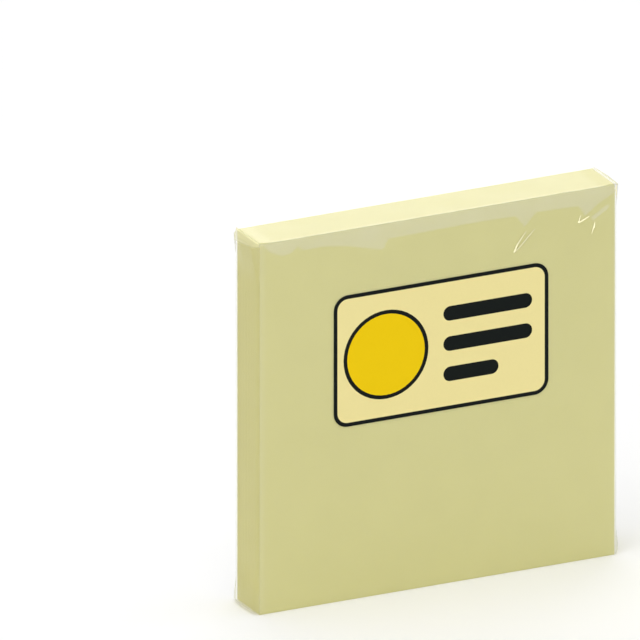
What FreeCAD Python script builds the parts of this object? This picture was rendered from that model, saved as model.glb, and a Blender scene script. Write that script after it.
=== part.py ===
import FreeCAD, Part
import math
import os

# A pad of sticky notes, sealed in its own clear shrink film and standing on its lower edge.
# +X runs along the width, +Y from the front note to the backing sheet, and +Z up.
# The origin is at the middle of the base, on the surface that the pad stands on.
# All sizes are in millimetres.

# Notes
note_width = 76.0
note_height = 76.0
sheet_count = 100
sheet_thickness = 0.097
# The adhesive of each sheet lies along its top edge and makes the stack thicker there
glue_band_height = 18.0
glue_thickness = 0.002

# Release-coated sheet that covers the last note's adhesive
backing_thickness = 0.1

# Film: how thick it is, and how loosely it lies round the paper
film_thickness = 0.05
film_clearance = 0.25

# Welded side seams: a low ridge down each side, a little behind the middle
seam_height = 0.15
seam_shift = 1.0

# Dog-ears: near both ends of each seam the film stands out from the paper as a lip, fullest
# close to the end, and dies away into the seam
ear_height = 1.1
ear_tip_drop = 0.35
ear_length = 9.0
ear_steps = 5

# Plan of a seam or an ear: its ridge, and a shoulder near the front and the back that stands
# out by a share of it
shoulder_inset = 0.9
shoulder_share = 0.8

# The tent on each side is rooted this deep in the pouch, so that the two fuse cleanly
tent_root = 1.0

# Derived sizes
free_depth = sheet_count * sheet_thickness
glued_depth = sheet_count * (sheet_thickness + glue_thickness)
pad_depth = glued_depth + backing_thickness
loose_gap = film_clearance + film_thickness
pouch_width = note_width + 2 * loose_gap
pouch_depth = pad_depth + 2 * loose_gap
pouch_height = film_thickness + note_height + loose_gap
paper_front = -pad_depth / 2
paper_back = pad_depth / 2
paper_base = film_thickness
paper_top = paper_base + note_height


def vector(x, y, z):
    return FreeCAD.Vector(x, y, z)


def closed_wire(points):
    return Part.makePolygon(points + points[:1])


def note_block():
    """The glued stack as one solid: flat behind, and thinner in front below the glue band."""
    glue_base = paper_top - glue_band_height
    back = paper_back - backing_thickness
    side = -note_width / 2
    profile = closed_wire([
        vector(side, back, paper_base),
        vector(side, back, paper_top),
        vector(side, paper_front, paper_top),
        vector(side, paper_front, glue_base),
        vector(side, back - free_depth, paper_base),
    ])
    return Part.Face(profile).extrude(vector(note_width, 0, 0))


def backing_sheet():
    """The sheet behind the last note, face to face with it."""
    corner = vector(-note_width / 2, paper_back - backing_thickness, paper_base)
    return Part.makeBox(note_width, backing_thickness, note_height, corner)


def rounded_envelope(inset):
    """The film's body at a given depth below its outer face, with round edges and corners."""
    width = pouch_width - 2 * inset
    depth = pouch_depth - 2 * inset
    height = pouch_height - 2 * inset
    body = Part.makeBox(width, depth, height, vector(-width / 2, -depth / 2, inset))
    return body.makeFillet(loose_gap - inset, body.Edges)


def ear_levels():
    """The ear from its tip to its end, as (distance from the paper's edge, reach of its ridge)."""
    levels = []
    for step in range(ear_steps + 1):
        share = step / ear_steps
        drop = ear_tip_drop + (ear_length - ear_tip_drop) * share
        reach = seam_height + (ear_height - seam_height) * (1 + math.cos(math.pi * share)) / 2
        levels.append((drop, reach))
    return levels


def side_tent(side, inset):
    """The ridge of one side seam with an ear near each end. side is 1 on the right, -1 on the left."""
    wall = pouch_width / 2 - inset
    half_depth = pouch_depth / 2 - loose_gap
    shoulder = half_depth - shoulder_inset
    base = loose_gap + inset
    top = pouch_height - loose_gap - inset
    # The end sections lie in the pouch's flat base and top, where its round edges begin, so that
    # each ear runs straight out of them to its tip
    flat_edge = pouch_width / 2 - loose_gap
    levels = [(inset, flat_edge, 0.0)]
    levels += [(base + drop, wall, reach) for drop, reach in ear_levels()]
    levels += [(top - drop, wall, reach) for drop, reach in reversed(ear_levels())]
    levels += [(pouch_height - inset, flat_edge, 0.0)]
    sections = []
    for z, edge, reach in levels:
        outline = [
            (wall - tent_root, -half_depth),
            (edge, -half_depth),
            (edge + shoulder_share * reach, -shoulder),
            (edge + reach, seam_shift),
            (edge + shoulder_share * reach, shoulder),
            (edge, half_depth),
            (wall - tent_root, half_depth),
        ]
        sections.append(closed_wire([vector(side * x, y, z) for x, y in outline]))
    return Part.makeLoft(sections, True, True)


def pouch_body(inset):
    """The whole outer form of the film, moved inwards by inset."""
    body = rounded_envelope(inset)
    return body.fuse([side_tent(side, inset) for side in (1, -1)]).removeSplitter()


def film_wrap():
    """The sealed film: the space between the pouch's outer and inner forms."""
    return pouch_body(0.0).cut(pouch_body(film_thickness))


def main():
    os.makedirs("parts", exist_ok=True)
    nodes = {
        "note_block": note_block(),
        "backing_sheet": backing_sheet(),
        "film_wrap": film_wrap(),
    }
    for name, shape in nodes.items():
        shape.exportStep(os.path.join("parts", name + ".step"))


main()
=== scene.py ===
import math

import bpy
import numpy as np
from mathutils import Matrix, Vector
from mathutils.geometry import delaunay_2d_cdt


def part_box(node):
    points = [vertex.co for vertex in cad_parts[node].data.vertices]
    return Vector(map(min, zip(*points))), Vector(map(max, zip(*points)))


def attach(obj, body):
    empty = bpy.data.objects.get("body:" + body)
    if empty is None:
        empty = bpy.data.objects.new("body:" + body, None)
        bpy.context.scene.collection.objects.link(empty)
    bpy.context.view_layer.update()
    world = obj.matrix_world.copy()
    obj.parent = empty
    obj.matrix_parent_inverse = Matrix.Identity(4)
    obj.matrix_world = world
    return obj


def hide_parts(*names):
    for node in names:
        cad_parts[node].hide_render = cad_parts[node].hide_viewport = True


# A pad of sticky notes in its own clear film, standing on its lower edge.
# All sizes are in metres. +X is the width, +Y goes from the front note to the backing, +Z is up.

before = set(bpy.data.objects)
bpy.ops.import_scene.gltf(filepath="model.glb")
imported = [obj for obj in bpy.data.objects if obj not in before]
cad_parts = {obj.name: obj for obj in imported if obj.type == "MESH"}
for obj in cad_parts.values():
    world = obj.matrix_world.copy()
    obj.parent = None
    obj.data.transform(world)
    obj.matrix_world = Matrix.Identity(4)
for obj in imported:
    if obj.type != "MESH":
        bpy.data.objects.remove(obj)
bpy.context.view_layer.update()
film_low, film_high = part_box("film_wrap")
block_low, block_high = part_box("note_block")
backing_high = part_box("backing_sheet")[1]

# Notes: how many, their adhesive, the air between two sheets, how far a sheet may lie out of line,
# and how finely a sheet is divided
SHEET_COUNT = 100
GLUE_THICKNESS = 0.000002
GLUE_BAND = 0.018
SHEET_GAP = 0.000004
SHEET_SHIFT = 0.000012
SHEET_SEED = 11
SHEET_COLUMNS = 6
SHEET_ROWS = 14

# Film: the most that it stands off the paper, which is also how round its edges are
LOOSE_GAP = film_high.z - block_high.z
EDGE_RADIUS = LOOSE_GAP

# How finely the film's skin is divided: round its edges, over most of it, where its forms are
# small, and along the plain middle of its height
CORNER_STEPS = 5
FILM_STEP = 0.0005
FINE_STEP = 0.00025
TALL_STEP = 0.0012
FINE_BAND = 0.012

# Dog-ears and side seams, as the solid has them
EAR_TIP_DROP = 0.00035
EAR_LENGTH = 0.0090
SEAM_HEIGHT = 0.00015
SEAM_SHIFT = 0.0010
SHOULDER_INSET = 0.0009
SHOULDER_SHARE = 0.8

# How far the film stands off the paper: pressed flat, lifted off the front, and lifted off the
# back, where the lift fades between two distances from the paper's upper and lower edges
CLOSE_GAP = 0.00006
LIFTED_GAP = 0.00027
BACK_LIFT = 0.00008
BACK_LIFT_FADE = (0.002, 0.005)
BACK_LIFT_UNEVEN = 0.001

# The film's gap over the top, near its middle, and how far from the sides it rises to the ears
TOP_GAP = 0.00009
TOP_RISE = 0.0035

# Waves in the film, each as their length and their seed, and how far the film moves with them
SLOW_WAVES = (0.022, 3)
QUICK_WAVES = (0.006, 5)
TOP_WAVES = (0.009, 8)
FOLD_WAVES = (0.004, 17)
FRONT_UNEVEN = 0.000012
BACK_UNEVEN = 0.000015
TOP_UNEVEN = 0.00002

# Lower edge of the lifted film under the front's top edge: distance right of the paper's left edge,
# and distance below its top
BAND_EDGE = (
    (0.0000, 0.0002), (0.0010, 0.0007), (0.0023, 0.0020), (0.0049, 0.0031), (0.0068, 0.0027),
    (0.0080, 0.0016), (0.0092, 0.0026), (0.0130, 0.0025), (0.0184, 0.0032), (0.0263, 0.0053),
    (0.0274, 0.0032), (0.0435, 0.0029), (0.0548, 0.0030), (0.0566, 0.0055), (0.0591, 0.0029),
    (0.0683, 0.0032), (0.0697, 0.0054), (0.0720, 0.0036), (0.0760, 0.0015),
)
# The band fades from a little above that edge to a little below it, and its slope ends below it
BAND_FADE_ABOVE = 0.0003
BAND_FADE_BELOW = 0.0002
BAND_SLOPE_BELOW = 0.0003

# The front's left and right edges: how far the film is lifted there, as a share of the band's
# lift, and the distances from the paper's edge between which that fades
LEFT_LIFT = 0.30
LEFT_LIFT_FADE = (0.0003, 0.0016)
RIGHT_LIFT = 0.25
RIGHT_LIFT_FADE = (0.0002, 0.0009)

# A soft fold across the front's right corner: its ends, measured as the band's edge is, half its
# width and its height, and where it fades at its ends and its sides, as shares of half its size
FOLD_ENDS = ((0.0710, 0.0063), (0.0748, 0.0040))
FOLD_HALF_WIDTH = 0.0004
FOLD_HEIGHT = 0.00005
FOLD_END_FADE = (0.7, 1.1)
FOLD_SIDE_FADE = (0.8, 1.2)

# Creases in the film's front, each a low ridge painted cream-white as a highlight: points right of
# the paper's left edge and below its top, and how wide the crease is there
CREASES = (
    (
        (0.0544, 0.0104, 0.00042), (0.0551, 0.0089, 0.00032),
        (0.0564, 0.0072, 0.00022), (0.0570, 0.0065, 0.00012),
    ),
    (
        (0.0546, 0.0103, 0.00030), (0.0559, 0.0092, 0.00022),
        (0.0577, 0.0074, 0.00026), (0.0588, 0.0063, 0.00014),
    ),
    ((0.0682, 0.0066, 0.00036), (0.0684, 0.0059, 0.00028), (0.0687, 0.0051, 0.00014)),
    ((0.0681, 0.0066, 0.00036), (0.0694, 0.0061, 0.00032), (0.0705, 0.0056, 0.00014)),
    (
        (0.0717, 0.0069, 0.00014), (0.0716, 0.0078, 0.00044),
        (0.0713, 0.0084, 0.00028), (0.0710, 0.0093, 0.00012),
    ),
    # The last two are only painted highlights at the front's right top corner: a short glint, and a
    # bright line down the fold
    ((0.0755, 0.0004, 0.00012), (0.0758, 0.0008, 0.00025), (0.0760, 0.0012, 0.00012)),
    ((0.0762, 0.0002, 0.00020), (0.0762, 0.0012, 0.00025), (0.0763, 0.0024, 0.00010)),
)
CREASE_STEPS = 4
CREASE_SLOPE = 0.5
CREASE_RISE = 0.00002
# The ridge lies off its middle, so that the broader flank faces up and to the left
CREASE_RIDGE = -0.15
BROAD_SIDE = (-0.5, 0.85)

# Sheen of the lifted film, as the share of it that mirrors besides, since both of its faces do so
# where it is off the paper: in the front's lifted band, and along the front's soft fold
FRONT_SHEEN = 0.15
FRONT_SHEEN_UNEVEN = 0.1
SOFT_FOLD_SHEEN = 0.17

# Haze of the film, as the share of it that is milky: where it lies flat, where it is lifted off
# the front and the back, on the top, on the lips of the ears and on the ears below them, on the
# side near the front, and in its folded edges, where it is partly milky film and partly a painted
# highlight
FLAT_HAZE = 0.012
FRONT_HAZE = 0.02
BACK_HAZE = 0.05
TOP_HAZE = 0.05
LIP_HAZE = 0.50
EAR_HAZE = 0.16
SHOULDER_HAZE = 0.035
FRONT_FOLD_HAZE_AND_PAINTED_HIGHLIGHT = 0.25
TOP_FOLD_HAZE_AND_PAINTED_HIGHLIGHT = 0.55
UPRIGHT_FOLD_HAZE_AND_PAINTED_HIGHLIGHT = 0.08

# The lips of the ears: how much lower they hang at the back, and over what distance they fade.
# A strip at the back of each side has a share of their haze, and fades in between two distances
# from the back
LIP_FALL = 0.0013
LIP_FADE = 0.0004
BACK_STRIP_SHARE = 0.3
BACK_STRIP_FADE = (0.0015, 0.0010)

# Where the folded edges begin and are full, by how far the film faces up or to the front there,
# and how strong and how patchy their haze is, which is partly milky film and partly a painted
# highlight
TOP_FOLD_FADE = (0.0, 0.4)
FRONT_FOLD_FADE = (0.0, 0.2)
UPRIGHT_FOLD_LIMIT = 0.1
FOLD_EVEN = 0.85
FOLD_PATCHY = 0.25

# Printed label on the film: a plain card with a disc and three bars
LABEL_SIZE = (0.0460, 0.0270)
LABEL_CENTRE = (0.00075, 0.0492)
LABEL_CORNER = 0.0030
LABEL_BORDER = 0.0008
LABEL_RISE = 0.00002
DISC_RADIUS = 0.0083
DISC_PLACE = -0.0118
BAR_HEIGHT = 0.0030
BAR_PITCH = 0.0062
BAR_LEFT = 0.0005
BAR_LENGTHS = (0.0190, 0.0190, 0.0118)
# The bars' ends are a little less than half round, so that no two of their points coincide
BAR_ROUNDNESS = 0.98

# Colours of paper, and the cream-white painted highlight of the film's creases, each as its
# lighter and its darker tone
NOTE_PAPER = ((0.756, 0.722, 0.314), (0.734, 0.701, 0.301))
NOTE_EDGES = ((0.685, 0.641, 0.229), (0.663, 0.618, 0.213))
BACKING_PAPER = ((0.86, 0.85, 0.80), (0.83, 0.82, 0.765))
CREASE_PAINTED_HIGHLIGHT = ((1.0, 0.95, 0.64), (0.97, 0.92, 0.60))
CREASE_GLOSS = (1.0, 0.94, 0.56, 1)

# Inks, in the order in which label_outlines numbers them, and how much darker their mottle is
INKS = (
    ("ink_dark", (0.004, 0.007, 0.006)),
    ("ink_cream", (0.98, 0.86, 0.39)),
    ("ink_yellow", (0.98, 0.67, 0.0)),
)
INK_MOTTLE = 0.97

# Paper: how its fibres stretch, how many clouds there are in a metre, and the tones between which
# its two colours mix
FIBRE_STRETCH = (1.0, 1.0, 0.55)
FIBRE_RELIEF = 0.35
CLOUDS_IN_A_METRE = 160.0
TONE_RANGE = (0.12, 0.40)

# Film: the share that it mirrors seen straight, how steeply that rises towards grazing, how
# blurred its reflections are, its ripples, and the colours of its cool and its warm haze, which
# also colour the painted highlight in its folded edges
HEAD_ON_MIRROR = 0.05
MIRROR_POWER = 5.5
MIRROR_BLUR = 0.12
RIPPLES_IN_A_METRE = 420.0
RIPPLE_STRENGTH = 0.15
RIPPLE_HEIGHT = 0.00003
COOL_HAZE_AND_PAINTED_HIGHLIGHT = (0.99, 0.99, 1.0)
WARM_HAZE_AND_PAINTED_HIGHLIGHT = (0.95, 0.92, 0.59)

# Camera: the photograph's own direction and scale
VIEW_AZIMUTH = math.radians(-26.08)
VIEW_ELEVATION = math.radians(20.4)
FRAME_PIXELS = 640
METRES_PER_PIXEL = 0.0001924
CORNER_PIXEL = (260, 245)
CAMERA_DISTANCE = 0.8
CLIP_RANGE = (0.01, 10.0)

# Floor, and the lamps: name, place, size and power of each. All of them point at the pad's middle
FLOOR_REACH = 12.0
FLOOR_COLOUR = (0.985, 0.985, 0.985, 1)
LAMPS = (
    ("overhead", (-0.15, -0.20, 1.10), (1.2, 1.2), 8.64),
    ("behind", (0.53, 1.09, 0.52), (1.4, 0.6), 5.94),
    ("strip", (-0.96, -0.66, 0.30), (0.3, 0.7), 1.62),
)

# Surroundings: their brightness above the floor and below it, and how quickly one becomes the other
SKY_STRENGTH = 0.41
FLOOR_GLOW = 1.0
HORIZON_BLEND = 0.02


def gap_noise(u, v, size, seed, waves=7):
    """Smooth noise between about -1 and 1, as a sum of seeded waves of about the given size."""
    draw = np.random.default_rng(seed)
    total = np.zeros_like(u)
    for _ in range(waves):
        angle = draw.uniform(0, math.tau)
        turn = math.tau / (size * draw.uniform(0.7, 1.6))
        total += np.sin(turn * (u * math.cos(angle) + v * math.sin(angle)) + draw.uniform(0, math.tau))
    return total / math.sqrt(waves) / 1.4


def smooth_step(low, high, value):
    t = np.clip((value - low) / (high - low), 0, 1)
    return t * t * (3 - 2 * t)


def new_mesh_object(name, points, faces, body="root"):
    mesh = bpy.data.meshes.new(name)
    mesh.from_pydata([tuple(p) for p in points], [], [tuple(f) for f in faces])
    mesh.update()
    piece = bpy.data.objects.new(name, mesh)
    bpy.context.scene.collection.objects.link(piece)
    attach(piece, body)
    return piece


# Materials

def new_material(name):
    material = bpy.data.materials.new(name)
    material.use_nodes = True
    nodes = material.node_tree.nodes
    nodes.clear()
    return material, nodes, material.node_tree.links


def add_node(nodes, kind, **inputs):
    node = nodes.new(kind)
    for name, value in inputs.items():
        node.inputs[name.replace("_", " ")].default_value = value
    return node


def show_shader(nodes, links, shader):
    output = nodes.new("ShaderNodeOutputMaterial")
    links.new(shader.outputs[0], output.inputs["Surface"])


def grain(nodes, links, scale, detail):
    """Noise through the object's own space."""
    space = nodes.new("ShaderNodeTexCoord")
    noise = add_node(nodes, "ShaderNodeTexNoise", Scale=scale, Detail=detail, Roughness=0.5)
    links.new(space.outputs["Object"], noise.inputs["Vector"])
    return noise.outputs["Fac"]


def fibre_grain(nodes, links, fibre_size):
    """Noise through the object's own space, stretched along the height."""
    space = nodes.new("ShaderNodeTexCoord")
    stretch = nodes.new("ShaderNodeMapping")
    stretch.inputs["Scale"].default_value = FIBRE_STRETCH
    links.new(space.outputs["Object"], stretch.inputs["Vector"])
    noise = add_node(nodes, "ShaderNodeTexNoise", Scale=1 / fibre_size, Detail=6.0, Roughness=0.65)
    links.new(stretch.outputs["Vector"], noise.inputs["Vector"])
    return noise.outputs["Fac"]


def carried_value(nodes, name):
    """A value that the mesh carries at each of its points."""
    attribute = nodes.new("ShaderNodeAttribute")
    attribute.attribute_name = name
    return attribute.outputs["Fac"]


def colour_mix(nodes, links, share, first, second):
    """From the first colour to the second, by a share that varies over the surface."""
    mix = nodes.new("ShaderNodeMix")
    mix.data_type = "RGBA"
    mix.inputs[6].default_value = (*first, 1)
    mix.inputs[7].default_value = (*second, 1)
    links.new(share, mix.inputs[0])
    return mix.outputs[2]


def shader_mix(nodes, links, share, first, second):
    """From the first shader to the second, by a share that varies over the surface."""
    mix = nodes.new("ShaderNodeMixShader")
    links.new(share, mix.inputs[0])
    links.new(first.outputs[0], mix.inputs[1])
    links.new(second.outputs[0], mix.inputs[2])
    return mix


def paper_material(name, tones, fibre_size, relief_height, roughness):
    """Uncoated paper: matte, with faint fibres in its colour and its surface."""
    material, nodes, links = new_material(name)
    light, dark = tones
    fibres = fibre_grain(nodes, links, fibre_size)
    tone = nodes.new("ShaderNodeMath")
    tone.operation = "MULTIPLY"
    links.new(fibres, tone.inputs[0])
    links.new(grain(nodes, links, CLOUDS_IN_A_METRE, 3.0), tone.inputs[1])
    ramp = nodes.new("ShaderNodeMapRange")
    ramp.inputs["From Min"].default_value, ramp.inputs["From Max"].default_value = TONE_RANGE
    links.new(tone.outputs[0], ramp.inputs["Value"])
    relief = add_node(nodes, "ShaderNodeBump", Strength=FIBRE_RELIEF, Distance=relief_height)
    links.new(fibres, relief.inputs["Height"])
    shader = add_node(nodes, "ShaderNodeBsdfPrincipled", Roughness=roughness, IOR=1.4)
    shader.inputs["Specular IOR Level"].default_value = 0.25
    links.new(colour_mix(nodes, links, ramp.outputs["Result"], dark, light), shader.inputs["Base Color"])
    links.new(relief.outputs["Normal"], shader.inputs["Normal"])
    show_shader(nodes, links, shader)
    return material


def mirror_share(nodes, links):
    """How much the film mirrors, from either side: little seen straight, and more towards grazing."""
    weight = add_node(nodes, "ShaderNodeLayerWeight", Blend=0.5)
    rise = nodes.new("ShaderNodeMath")
    rise.operation = "POWER"
    rise.inputs[1].default_value = MIRROR_POWER
    links.new(weight.outputs["Facing"], rise.inputs[0])
    share = nodes.new("ShaderNodeMath")
    share.operation = "MULTIPLY_ADD"
    share.inputs[1].default_value = 1 - HEAD_ON_MIRROR
    share.inputs[2].default_value = HEAD_ON_MIRROR
    links.new(rise.outputs[0], share.inputs[0])
    return share.outputs[0]


def film_material():
    """Clear shrink film: it mirrors more at grazing angles and where it is lifted, and has haze, which
    in its folded edges is partly a painted highlight.
    """
    material, nodes, links = new_material("clear_film")
    relief = add_node(nodes, "ShaderNodeBump", Strength=RIPPLE_STRENGTH, Distance=RIPPLE_HEIGHT)
    links.new(grain(nodes, links, RIPPLES_IN_A_METRE, 3.0), relief.inputs["Height"])
    clear = add_node(nodes, "ShaderNodeBsdfTransparent", Color=(1, 1, 1, 1))
    gloss = add_node(nodes, "ShaderNodeBsdfGlossy", Color=(1, 1, 1, 1), Roughness=MIRROR_BLUR)
    links.new(relief.outputs["Normal"], gloss.inputs["Normal"])
    milk_and_painted_highlight = nodes.new("ShaderNodeBsdfDiffuse")
    tint = colour_mix(nodes, links, carried_value(nodes, "warmth"), COOL_HAZE_AND_PAINTED_HIGHLIGHT, WARM_HAZE_AND_PAINTED_HIGHLIGHT)
    links.new(tint, milk_and_painted_highlight.inputs["Color"])
    skin = shader_mix(nodes, links, mirror_share(nodes, links), clear, gloss)
    lifted = shader_mix(nodes, links, carried_value(nodes, "sheen"), skin, gloss)
    # The milky share also carries the painted highlight in the folded edges
    whole = shader_mix(nodes, links, carried_value(nodes, "haze_and_painted_highlight"), lifted, milk_and_painted_highlight)
    show_shader(nodes, links, whole)
    return material


def painted_crease_highlight_material():
    """Sharp folds of the film: a cream-white painted highlight, with a share of real gloss."""
    material, nodes, links = new_material("film_crease_painted_highlight")
    light, dark = CREASE_PAINTED_HIGHLIGHT
    # Painted highlight: a cream-white diffuse colour in place of the creases' glints
    white = nodes.new("ShaderNodeBsdfDiffuse")
    tone = colour_mix(nodes, links, grain(nodes, links, 2500.0, 2.0), dark, light)
    links.new(tone, white.inputs["Color"])
    gloss = add_node(nodes, "ShaderNodeBsdfGlossy", Color=CREASE_GLOSS, Roughness=0.22)
    whole = add_node(nodes, "ShaderNodeMixShader", Fac=0.2)
    links.new(white.outputs[0], whole.inputs[1])
    links.new(gloss.outputs[0], whole.inputs[2])
    show_shader(nodes, links, whole)
    return material


def ink_material(name, colour):
    """Printing ink: even, with the faint mottle of a flat print."""
    material, nodes, links = new_material(name)
    dark = [INK_MOTTLE * c for c in colour]
    shader = add_node(nodes, "ShaderNodeBsdfPrincipled", Roughness=0.45)
    shader.inputs["Specular IOR Level"].default_value = 0.1
    tone = colour_mix(nodes, links, grain(nodes, links, 1800.0, 2.0), dark, colour)
    links.new(tone, shader.inputs["Base Color"])
    show_shader(nodes, links, shader)
    return material


def floor_material():
    material, nodes, links = new_material("pale_floor")
    shader = add_node(nodes, "ShaderNodeBsdfPrincipled", Roughness=0.9)
    shader.inputs["Base Color"].default_value = FLOOR_COLOUR
    shader.inputs["Specular IOR Level"].default_value = 0.0
    show_shader(nodes, links, shader)
    return material


# Notes

def sheet_rows():
    """Heights of the sheets' rows of points, and the pitch of the sheets at each of them."""
    glue_base = block_high.z - GLUE_BAND
    glued_pitch = (block_high.y - block_low.y) / SHEET_COUNT
    free_pitch = glued_pitch - GLUE_THICKNESS
    heights = np.append(np.linspace(block_low.z, glue_base, SHEET_ROWS + 1), block_high.z)
    fall = np.clip((glue_base - heights) / (glue_base - block_low.z), 0, 1)
    return heights, glued_pitch + (free_pitch - glued_pitch) * fall


def sheet_points(sheet, across, heights, pitch, shift_x, shift_z):
    """The points of one sheet: those of its front, row by row, and then those of its back."""
    back = block_high.y - pitch * (SHEET_COUNT - 1 - sheet)
    front = back - pitch + SHEET_GAP
    points = []
    for face in (front, back):
        for y, height in zip(face, heights):
            for place in across:
                x = min(max(place + shift_x, block_low.x), block_high.x)
                z = min(max(height + shift_z, block_low.z), block_high.z)
                points.append((x, y, z))
    return points


def sheet_faces(start, wide, tall):
    """The faces of one sheet: those of its front and back, and those of its cut edges."""
    layer = wide * tall
    faces = []
    for row in range(tall - 1):
        for column in range(wide - 1):
            a = start + row * wide + column
            b = a + layer
            faces.append((a, a + 1, a + wide + 1, a + wide))
            faces.append((b, b + wide, b + wide + 1, b + 1))
    rim = [start + column for column in range(wide)]
    rim += [start + row * wide + wide - 1 for row in range(1, tall)]
    rim += [start + (tall - 1) * wide + column for column in range(wide - 2, -1, -1)]
    rim += [start + row * wide for row in range(tall - 2, 0, -1)]
    edges = [(a, a + layer, b + layer, b) for a, b in zip(rim, rim[1:] + rim[:1])]
    return faces, edges


def note_sheets():
    """The stack, sheet by sheet: each a thin leaf, closer to the next below the glued band."""
    draw = np.random.default_rng(SHEET_SEED)
    across = np.linspace(block_low.x, block_high.x, SHEET_COLUMNS + 1)
    heights, pitch = sheet_rows()
    points = []
    faces = []
    materials = []
    for sheet in range(SHEET_COUNT):
        shift_x, shift_z = draw.uniform(-SHEET_SHIFT, SHEET_SHIFT, 2)
        if sheet in (0, SHEET_COUNT - 1):
            shift_x = shift_z = 0
        flats, edges = sheet_faces(len(points), len(across), len(heights))
        points += sheet_points(sheet, across, heights, pitch, shift_x, shift_z)
        faces += flats + edges
        materials += [0] * len(flats) + [1] * len(edges)
    piece = new_mesh_object("note_sheets", points, faces)
    piece.data.polygons.foreach_set("material_index", materials)
    piece.data.materials.append(paper_material("note_paper", NOTE_PAPER, 0.00022, 0.00002, 0.9))
    piece.data.materials.append(paper_material("note_edges", NOTE_EDGES, 0.00012, 0.00003, 0.95))
    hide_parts("note_block")
    return piece


def backing():
    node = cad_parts["backing_sheet"]
    material = paper_material("backing_paper", BACKING_PAPER, 0.0003, 0.00002, 0.55)
    for slot in node.material_slots:
        slot.material = material


# Film

class FilmAxis:
    """Lattice lines along one axis: round corner lines at both ends, and straight lines between."""

    def __init__(self, inner):
        turn = np.tan(np.linspace(math.pi / 4, 0, CORNER_STEPS + 1))
        corner = np.ones(CORNER_STEPS + 1)
        middle = np.zeros(len(inner))
        self.side = np.concatenate([-corner, middle, corner])
        self.turn = np.concatenate([-turn, middle, turn[::-1]])
        self.place = np.concatenate([0 * corner, inner, 0 * corner])
        self.count = len(self.side)


def even_lines(low, high, step):
    count = max(2, round((high - low) / step))
    return np.linspace(low, high, count + 1)[1:-1]


def film_lattice():
    """The pouch's lattice: x, y and z lines, and the box whose walls they lie on."""
    half_width = block_high.x + LOOSE_GAP
    low = np.array([-half_width, film_low.y, film_low.z])
    high = np.array([half_width, film_high.y, film_high.z])
    inset = EDGE_RADIUS
    right_band = block_low.x + FOLD_ENDS[0][0] - FOLD_HALF_WIDTH
    x_lines = np.concatenate([
        even_lines(low[0] + inset, right_band, FILM_STEP),
        [right_band],
        even_lines(right_band, high[0] - inset, FINE_STEP),
    ])
    y_lines = even_lines(low[1] + inset, high[1] - inset, FILM_STEP)
    base_tip = low[2] + LOOSE_GAP + EAR_TIP_DROP
    top_tip = high[2] - LOOSE_GAP - EAR_TIP_DROP
    base_band = low[2] + EAR_LENGTH
    top_band = high[2] - FINE_BAND
    z_lines = np.concatenate([
        [(low[2] + LOOSE_GAP + base_tip) / 2, base_tip],
        even_lines(base_tip, base_band, FILM_STEP),
        [base_band],
        even_lines(base_band, top_band, TALL_STEP),
        [top_band],
        even_lines(top_band, top_tip, FINE_STEP),
        [top_tip, (high[2] - LOOSE_GAP + top_tip) / 2],
    ])
    return (FilmAxis(x_lines), FilmAxis(y_lines), FilmAxis(z_lines)), low, high


def lattice_faces(counts):
    """Quads over all six walls of a lattice box, as triples of lattice indices, facing outwards."""
    quads = []
    for axis in range(3):
        first, second = [a for a in range(3) if a != axis]
        u, v = np.meshgrid(np.arange(counts[first] - 1), np.arange(counts[second] - 1), indexing="ij")
        u, v = u.ravel(), v.ravel()
        for end in (0, counts[axis] - 1):
            corners = []
            for du, dv in ((0, 0), (1, 0), (1, 1), (0, 1)):
                place = np.zeros((len(u), 3), int)
                place[:, axis] = end
                place[:, first] = u + du
                place[:, second] = v + dv
                corners.append(place)
            outward_is_plus = axis != 1
            if (end > 0) != outward_is_plus:
                corners.reverse()
            quads.append(np.stack(corners, axis=1))
    return np.concatenate(quads)


def film_points():
    """The pouch's box with round edges: its points, which way each faces, and its faces."""
    axes, low, high = film_lattice()
    counts = [axis.count for axis in axes]
    layer = counts[1] * counts[2]
    quads = lattice_faces(counts)
    keys = quads[..., 0] * layer + quads[..., 1] * counts[2] + quads[..., 2]
    unique, faces = np.unique(keys, return_inverse=True)
    faces = faces.reshape(keys.shape)
    index = np.stack([unique // layer, unique // counts[2] % counts[1], unique % counts[2]], 1)
    turn = np.stack([axes[a].turn[index[:, a]] for a in range(3)], 1)
    side = np.stack([axes[a].side[index[:, a]] for a in range(3)], 1)
    centre = np.stack([axes[a].place[index[:, a]] for a in range(3)], 1)
    centre = np.where(side < 0, low + EDGE_RADIUS, centre)
    centre = np.where(side > 0, high - EDGE_RADIUS, centre)
    normal = turn / np.linalg.norm(turn, axis=1, keepdims=True)
    return centre + normal * EDGE_RADIUS, normal, faces


def facing(normal):
    """How squarely each point faces the front, the back, up and to a side, from 0 to 1."""
    front = np.clip(-normal[:, 1], 0, 1) ** 2
    back = np.clip(normal[:, 1], 0, 1) ** 2
    up = np.clip(normal[:, 2], 0, 1) ** 2
    side = np.abs(normal[:, 0]) ** 2
    return front, back, up, side


def ear_reach(drop):
    """How far a seam's ridge stands out from the wall, at a distance below the paper's edge."""
    ear_height = film_high.x - block_high.x - LOOSE_GAP
    rising = ear_height * (drop + LOOSE_GAP) / (EAR_TIP_DROP + LOOSE_GAP)
    fall = np.clip((drop - EAR_TIP_DROP) / (EAR_LENGTH - EAR_TIP_DROP), 0, 1)
    falling = SEAM_HEIGHT + (ear_height - SEAM_HEIGHT) * (1 + np.cos(math.pi * fall)) / 2
    return np.where(drop < EAR_TIP_DROP, rising, falling)


def ear_share(y):
    """The plan of a seam or an ear, as a share of its ridge: nothing at the front and the back."""
    front = block_low.y
    back = backing_high.y
    places = [front, front + SHOULDER_INSET, SEAM_SHIFT, back - SHOULDER_INSET, back]
    return np.interp(y, places, [0, SHOULDER_SHARE, 1, SHOULDER_SHARE, 0])


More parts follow.
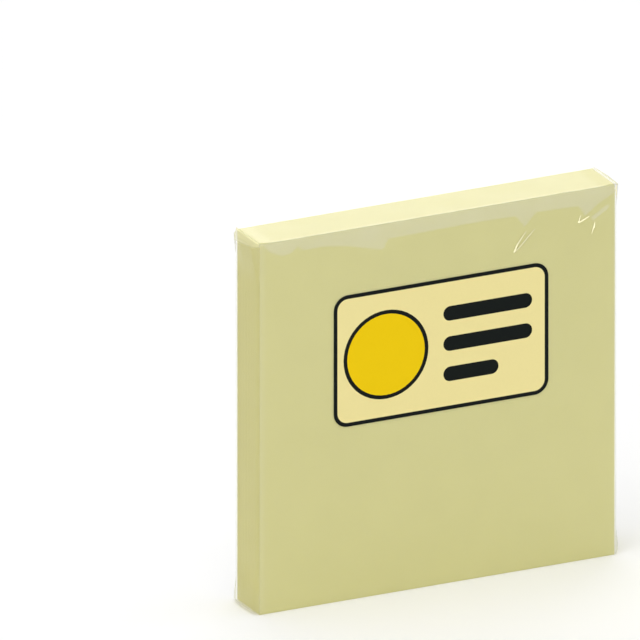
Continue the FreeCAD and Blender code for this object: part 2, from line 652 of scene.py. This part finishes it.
def ear_stand(point):
    """How far each point of the two side walls moves out for the seams and the ears."""
    wall = np.abs(point[:, 0]) > block_high.x + LOOSE_GAP - EDGE_RADIUS
    drop = np.minimum(point[:, 2], film_high.z - point[:, 2]) - LOOSE_GAP
    reach = ear_reach(np.maximum(drop, -LOOSE_GAP)) * ear_share(point[:, 1])
    return np.where(wall, np.sign(point[:, 0]) * reach, 0)


def band_drop(x):
    """How far below the paper's top the film's lifted band ends, along the width."""
    places = [p + block_low.x for p, _ in BAND_EDGE]
    return np.interp(x, places, [d for _, d in BAND_EDGE])


def front_lift(x, z):
    """Where the film is off the front note, from 0 to 1, and how far.

    In the band it slopes from the most at the top to nothing at the band's lower edge.
    """
    drop = block_high.z - z
    edge = band_drop(x)
    band = 1 - smooth_step(edge - BAND_FADE_ABOVE, edge + BAND_FADE_BELOW, drop)
    slope = np.clip(1 - drop / (edge + BAND_SLOPE_BELOW), 0, 1)
    left_edge = LEFT_LIFT * (1 - smooth_step(*LEFT_LIFT_FADE, x - block_low.x))
    right_edge = RIGHT_LIFT * (1 - smooth_step(*RIGHT_LIFT_FADE, block_high.x - x))
    at_edge = np.maximum(left_edge, right_edge)
    return np.maximum(band, at_edge), np.maximum(slope, at_edge)


def soft_fold(x, z):
    """The soft fold across the front's right corner: 1 within it, and its rise.

    The rise is fullest at the fold's lower side.
    """
    drop = block_high.z - z
    start, end = (np.array(p) for p in FOLD_ENDS)
    run = end - start
    length = np.linalg.norm(run)
    off_x = x - block_low.x - start[0]
    off_drop = drop - start[1]
    along = (off_x * run[0] + off_drop * run[1]) / length ** 2
    across = (off_drop * run[0] - off_x * run[1]) / length / FOLD_HALF_WIDTH
    within = 1 - smooth_step(*FOLD_END_FADE, np.abs(2 * along - 1))
    within = within * (1 - smooth_step(*FOLD_SIDE_FADE, np.abs(across)))
    return within, within * np.clip((across + 1) / 2, 0, 1)


def front_stand(x, z):
    """How far the film stands off the front note."""
    gap = CLOSE_GAP + (LIFTED_GAP - CLOSE_GAP) * front_lift(x, z)[1]
    return gap + FOLD_HEIGHT * soft_fold(x, z)[1] + FRONT_UNEVEN * gap_noise(x, z, *SLOW_WAVES)


def back_lift(x, y, z):
    """Where the film is off the backing sheet, from 0 to 1: near its upper and lower edges."""
    quick = gap_noise(x, z + y, *QUICK_WAVES)
    return 1 - smooth_step(*BACK_LIFT_FADE, np.minimum(block_high.z - z, z) + BACK_LIFT_UNEVEN * quick)


def back_stand(x, y, z):
    """How far the film stands off the backing sheet."""
    return CLOSE_GAP + BACK_LIFT * back_lift(x, y, z) + BACK_UNEVEN * gap_noise(x, z, *SLOW_WAVES)


def top_stand(x, y):
    """How far the film stands off the notes' top edges: more towards the ears."""
    to_side = smooth_step(block_high.x - TOP_RISE, block_high.x, np.abs(x))
    uneven = TOP_UNEVEN * gap_noise(x, y, *TOP_WAVES) * (1 - to_side)
    return TOP_GAP + (LOOSE_GAP - TOP_GAP) * to_side + uneven


def film_sink(point, normal):
    """How far each point sinks towards the paper, from where the film is at its loosest."""
    x, y, z = point.T
    front, back, up, _ = facing(normal)
    sunk = front * (LOOSE_GAP - front_stand(x, z))
    sunk += back * (LOOSE_GAP - back_stand(x, y, z))
    sunk += up * (LOOSE_GAP - top_stand(x, y))
    return sunk


def lip_share(point, normal):
    """1 on the lips of the ears at the top, which hang lower towards the back, and 0 elsewhere."""
    x, y, z = point.T
    drop = film_high.z - LOOSE_GAP - z
    depth = np.clip((y - block_low.y) / (backing_high.y - block_low.y), 0, 1)
    lower_edge = EAR_TIP_DROP + LIP_FALL * depth
    lip = 1 - smooth_step(lower_edge, lower_edge + LIP_FADE, drop)
    strip_start, strip_end = (backing_high.y - inset for inset in BACK_STRIP_FADE)
    back_strip = BACK_STRIP_SHARE * smooth_step(strip_start, strip_end, y)
    return facing(normal)[3] * np.maximum(lip, back_strip)


def fold_haze_and_painted_highlight(point, normal):
    """Haze in the film's folded edges, partly milky film and partly a painted highlight: strong and
    patchy along the top, and weak down the sides.
    """
    x, y, z = point.T
    fold = np.clip(2 * (1 - np.max(np.abs(normal), axis=1) ** 2), 0, 1)
    top_fold = fold * smooth_step(*TOP_FOLD_FADE, normal[:, 2])
    upright_fold = fold * (np.abs(normal[:, 2]) < UPRIGHT_FOLD_LIMIT)
    in_front = smooth_step(*FRONT_FOLD_FADE, -normal[:, 1])
    strength = TOP_FOLD_HAZE_AND_PAINTED_HIGHLIGHT + (FRONT_FOLD_HAZE_AND_PAINTED_HIGHLIGHT - TOP_FOLD_HAZE_AND_PAINTED_HIGHLIGHT) * in_front
    patches = FOLD_EVEN + FOLD_PATCHY * gap_noise(x, y, *FOLD_WAVES)
    return top_fold * strength * patches + upright_fold * UPRIGHT_FOLD_HAZE_AND_PAINTED_HIGHLIGHT


def film_surface(point, normal):
    """The film's haze, partly a painted highlight in its folded edges, how warm that is, and the film's
    sheen, at each point.
    """
    x, y, z = point.T
    front, back, up, side = facing(normal)
    lifted = front * front_lift(x, z)[0]
    sheen = lifted * FRONT_SHEEN * (1 + FRONT_SHEEN_UNEVEN * gap_noise(x, z + y, *QUICK_WAVES))
    sheen = np.maximum(sheen, front * soft_fold(x, z)[0] * SOFT_FOLD_SHEEN)
    drop = np.minimum(z - film_low.z, film_high.z - z) - LOOSE_GAP
    ear = side * np.clip(ear_reach(np.maximum(drop, 0)) / ear_reach(EAR_TIP_DROP), 0, 1)
    near_front = 1 - smooth_step(0.0, SHOULDER_INSET, y - block_low.y)
    haze_and_painted_highlight = FLAT_HAZE + lifted * FRONT_HAZE
    haze_and_painted_highlight += back * back_lift(x, y, z) * BACK_HAZE
    haze_and_painted_highlight += up * TOP_HAZE
    haze_and_painted_highlight += side * near_front * SHOULDER_HAZE
    haze_and_painted_highlight += np.maximum(lip_share(point, normal) * LIP_HAZE, ear * EAR_HAZE)
    # The folded edges: milky film, and a painted highlight that is patchy along the top
    haze_and_painted_highlight += fold_haze_and_painted_highlight(point, normal)
    # On the top, the sides and the ears the haze takes some of the notes' colour
    warmth = 1 - back - front
    return {"haze_and_painted_highlight": np.clip(haze_and_painted_highlight, 0, 1), "warmth": warmth, "sheen": sheen}


def film_skin():
    """The whole pouch as one closed skin, from its lattice, its ears and its lie on the paper."""
    point, normal, faces = film_points()
    surface = film_surface(point, normal)
    point = point - normal * film_sink(point, normal)[:, None]
    point[:, 0] += ear_stand(point)
    piece = new_mesh_object("film_skin", point, faces)
    for name, values in surface.items():
        attribute = piece.data.attributes.new(name, "FLOAT", "POINT")
        attribute.data.foreach_set("value", values.astype(np.float32))
    piece.data.polygons.foreach_set("use_smooth", [True] * len(piece.data.polygons))
    piece.data.materials.append(film_material())
    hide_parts("film_wrap")
    return piece


def crease_strips():
    """Short sharp folds of the film's front, each a low ridge that tapers as its list says, coloured
    with the creases' painted highlight.
    """
    points = []
    faces = []
    for path in CREASES:
        line = np.array([(block_low.x + x, block_high.z - drop, width) for x, drop, width in path])
        steps = np.linspace(0, len(line) - 1, CREASE_STEPS * len(line))
        x, z, width = (np.interp(steps, range(len(line)), column) for column in line.T)
        along = np.stack([np.gradient(x), np.gradient(z)], 1)
        along /= np.linalg.norm(along, axis=1, keepdims=True)
        across = np.stack([-along[:, 1], along[:, 0]], 1)
        across *= np.where(across @ BROAD_SIDE < 0, -1, 1)[:, None]
        front = block_low.y - front_stand(x, z) - CREASE_RISE
        start = len(points)
        for step in range(len(x)):
            for edge, rise in ((1, 0), (CREASE_RIDGE, 1), (-1, 0)):
                place = (x[step], z[step]) + across[step] * edge * width[step] / 2
                y = max(front[step] - rise * width[step] * CREASE_SLOPE, film_low.y)
                points.append((place[0], y, place[1]))
        for step in range(len(x) - 1):
            a = start + 3 * step
            faces.append((a, a + 1, a + 4, a + 3))
            faces.append((a + 1, a + 2, a + 5, a + 4))
    piece = new_mesh_object("film_creases", points, faces)
    piece.data.materials.append(painted_crease_highlight_material())
    return piece


# Label

def round_rectangle(width, height, radius, steps=8):
    points = []
    for quarter, (sx, sz) in enumerate(((1, 1), (-1, 1), (-1, -1), (1, -1))):
        for k in range(steps + 1):
            angle = math.pi / 2 * (quarter + k / steps)
            x = sx * (width / 2 - radius) + radius * math.cos(angle)
            z = sz * (height / 2 - radius) + radius * math.sin(angle)
            points.append((x, z))
    return points


def circle(x, z, radius, steps=48):
    turns = [math.tau * k / steps for k in range(steps)]
    return [(x + radius * math.cos(t), z + radius * math.sin(t)) for t in turns]


def label_outlines():
    """Each printed field as (outline, ink): the last one that holds a point gives its ink."""
    width, height = LABEL_SIZE
    card = (width - 2 * LABEL_BORDER, height - 2 * LABEL_BORDER, LABEL_CORNER - LABEL_BORDER)
    fields = [
        (round_rectangle(width, height, LABEL_CORNER), 0),
        (round_rectangle(*card), 1),
        (circle(DISC_PLACE, 0, DISC_RADIUS + LABEL_BORDER), 0),
        (circle(DISC_PLACE, 0, DISC_RADIUS), 2),
    ]
    for row, length in enumerate(BAR_LENGTHS):
        bar = round_rectangle(length, BAR_HEIGHT, BAR_HEIGHT / 2 * BAR_ROUNDNESS)
        centre_x = BAR_LEFT + length / 2
        centre_z = BAR_PITCH * (1 - row)
        fields.append(([(x + centre_x, z + centre_z) for x, z in bar], 0))
    return fields


def inside(outline, x, z):
    """True if the point lies within the closed outline."""
    found = False
    for (x1, z1), (x2, z2) in zip(outline, outline[1:] + outline[:1]):
        if (z1 > z) != (z2 > z) and x < (x2 - x1) * (z - z1) / (z2 - z1) + x1:
            found = not found
    return found


def print_label():
    """The print on the film: flat fields of ink in one plane, just over the film's front."""
    fields = label_outlines()
    outer = fields[0][0]
    points = []
    edges = []
    for outline, _ in fields:
        start = len(points)
        points += [Vector(p) for p in outline]
        edges += [(start + k, start + (k + 1) % len(outline)) for k in range(len(outline))]
    points_2d, _, triangles, _, _, _ = delaunay_2d_cdt(points, edges, [], 1, 1e-7)
    y = block_low.y - CLOSE_GAP - LABEL_RISE
    places = [(LABEL_CENTRE[0] + p.x, y, LABEL_CENTRE[1] + p.y) for p in points_2d]
    faces = []
    inks = []
    for triangle in triangles:
        x = sum(points_2d[k].x for k in triangle) / len(triangle)
        z = sum(points_2d[k].y for k in triangle) / len(triangle)
        if not inside(outer, x, z):
            continue
        faces.append(tuple(triangle))
        inks.append([ink for outline, ink in fields if inside(outline, x, z)][-1])
    piece = new_mesh_object("film_print", places, faces)
    piece.data.polygons.foreach_set("material_index", inks)
    for name, colour in INKS:
        piece.data.materials.append(ink_material(name, colour))
    return piece


# Stage

def add_floor():
    reach = FLOOR_REACH
    corners = [(-reach, -reach, 0), (reach, -reach, 0), (reach, reach, 0), (-reach, reach, 0)]
    mesh = bpy.data.meshes.new("floor")
    mesh.from_pydata(corners, [], [(0, 1, 2, 3)])
    floor = bpy.data.objects.new("floor", mesh)
    bpy.context.scene.collection.objects.link(floor)
    mesh.materials.append(floor_material())


def add_softbox(name, place, size, power):
    """A soft lamp that the camera doesn't see, pointed at the pad's middle."""
    data = bpy.data.lights.new(name, "AREA")
    data.shape = "RECTANGLE"
    data.size, data.size_y = size
    data.energy = power
    lamp = bpy.data.objects.new(name, data)
    lamp.location = place
    lamp.rotation_mode = "QUATERNION"
    middle = Vector((0, 0, block_high.z / 2))
    lamp.rotation_quaternion = (middle - Vector(place)).to_track_quat("-Z", "Y")
    lamp.visible_camera = False
    bpy.context.scene.collection.objects.link(lamp)


def add_surroundings():
    """Even light from all round, and below the floor's edge as bright as the floor."""
    world = bpy.data.worlds.new("studio")
    bpy.context.scene.world = world
    world.use_nodes = True
    nodes = world.node_tree.nodes
    links = world.node_tree.links
    place = nodes.new("ShaderNodeTexCoord")
    parts = nodes.new("ShaderNodeSeparateXYZ")
    links.new(place.outputs["Generated"], parts.inputs[0])
    rise = nodes.new("ShaderNodeMapRange")
    rise.inputs["From Min"].default_value = -HORIZON_BLEND
    rise.inputs["From Max"].default_value = 0.0
    rise.inputs["To Min"].default_value = FLOOR_GLOW
    rise.inputs["To Max"].default_value = SKY_STRENGTH
    links.new(parts.outputs["Z"], rise.inputs["Value"])
    background = nodes["Background"]
    background.inputs["Color"].default_value = (1, 1, 1, 1)
    links.new(rise.outputs["Result"], background.inputs["Strength"])


def add_camera():
    """The camera, placed so that the notes' front left top corner is at CORNER_PIXEL."""
    data = bpy.data.cameras.new("camera")
    data.type = "ORTHO"
    data.ortho_scale = FRAME_PIXELS * METRES_PER_PIXEL
    data.clip_start, data.clip_end = CLIP_RANGE
    camera = bpy.data.objects.new("camera", data)
    bpy.context.scene.collection.objects.link(camera)
    back = Vector((
        math.sin(VIEW_AZIMUTH) * math.cos(VIEW_ELEVATION),
        -math.cos(VIEW_AZIMUTH) * math.cos(VIEW_ELEVATION),
        math.sin(VIEW_ELEVATION),
    ))
    camera.rotation_mode = "QUATERNION"
    camera.rotation_quaternion = (-back).to_track_quat("-Z", "Y")
    right = camera.rotation_quaternion @ Vector((1, 0, 0))
    up = camera.rotation_quaternion @ Vector((0, 1, 0))
    corner = Vector((block_low.x, block_low.y, block_high.z))
    off_right = (FRAME_PIXELS / 2 - CORNER_PIXEL[0]) * METRES_PER_PIXEL
    off_up = (CORNER_PIXEL[1] - FRAME_PIXELS / 2) * METRES_PER_PIXEL
    camera.location = corner + right * off_right + up * off_up + back * CAMERA_DISTANCE
    bpy.context.scene.camera = camera


note_sheets()
backing()
film_skin()
crease_strips()
print_label()
add_floor()
for lamp_values in LAMPS:
    add_softbox(*lamp_values)
add_surroundings()
add_camera()
bpy.context.scene.view_settings.view_transform = "Standard"
